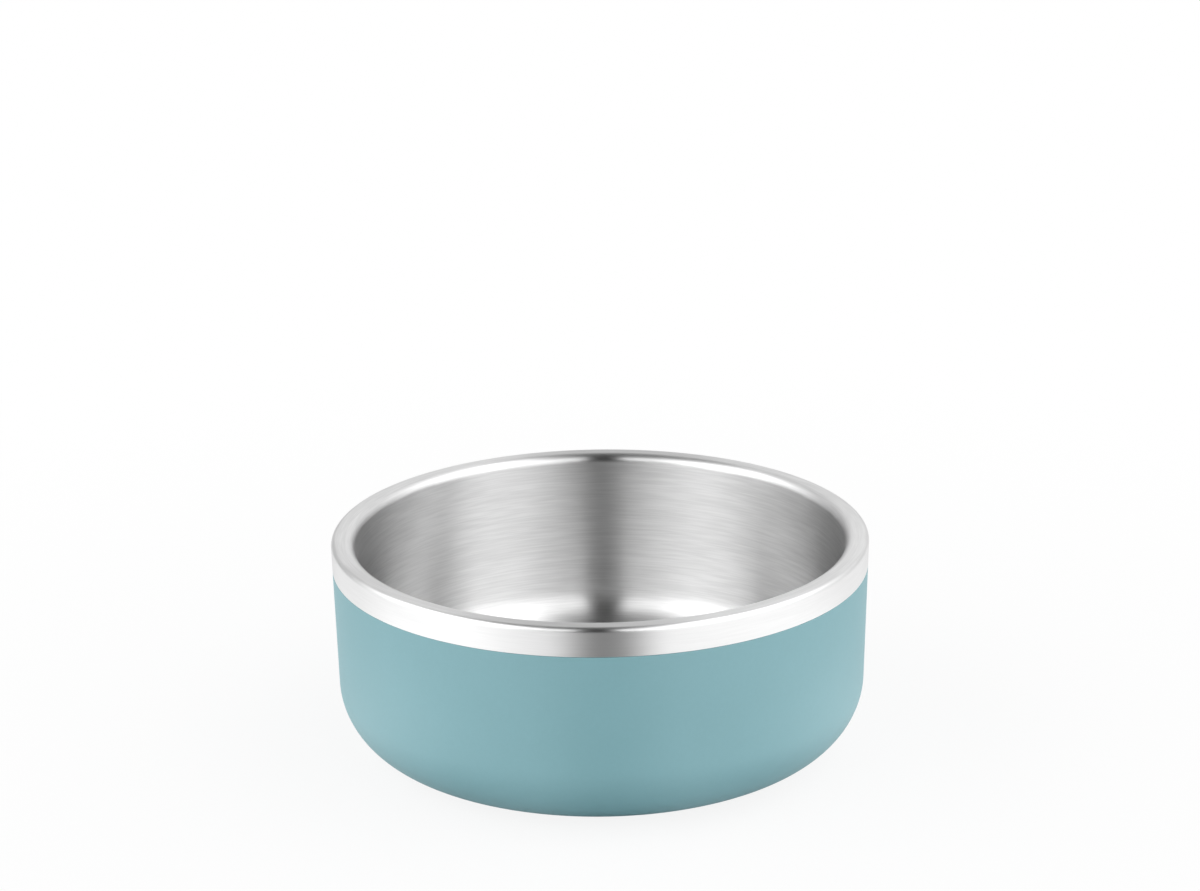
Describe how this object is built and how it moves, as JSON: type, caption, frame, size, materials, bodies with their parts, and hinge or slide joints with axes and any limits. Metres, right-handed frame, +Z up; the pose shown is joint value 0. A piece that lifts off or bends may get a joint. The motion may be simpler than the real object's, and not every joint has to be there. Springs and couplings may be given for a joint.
{
  "type": "pet bowl",
  "caption": "Round double-wall steel feeding bowl for a pet: brushed inside and on its folded rim, coated outside, standing on a rubber foot ring.",
  "frame": {"origin": "on the ground, at the centre of the foot ring's underside", "axes": "+Z up along the axis of the bowl; +X to the right and -Y towards the viewer of the picture"},
  "size_m": [0.171, 0.171, 0.07],
  "materials": {
    "brushed_liner": "bare stainless steel, brushed around the axis",
    "shell_coat": "teal powder coat, satin",
    "seal_silicone": "translucent silicone",
    "foot_rubber": "matt dark rubber"
  },
  "bodies": {
    "root": {"inner_bowl": "brushed_liner", "outer_shell": "shell_coat", "rim_seal": "seal_silicone", "foot_ring": "foot_rubber"}
  },
  "joints": []
}
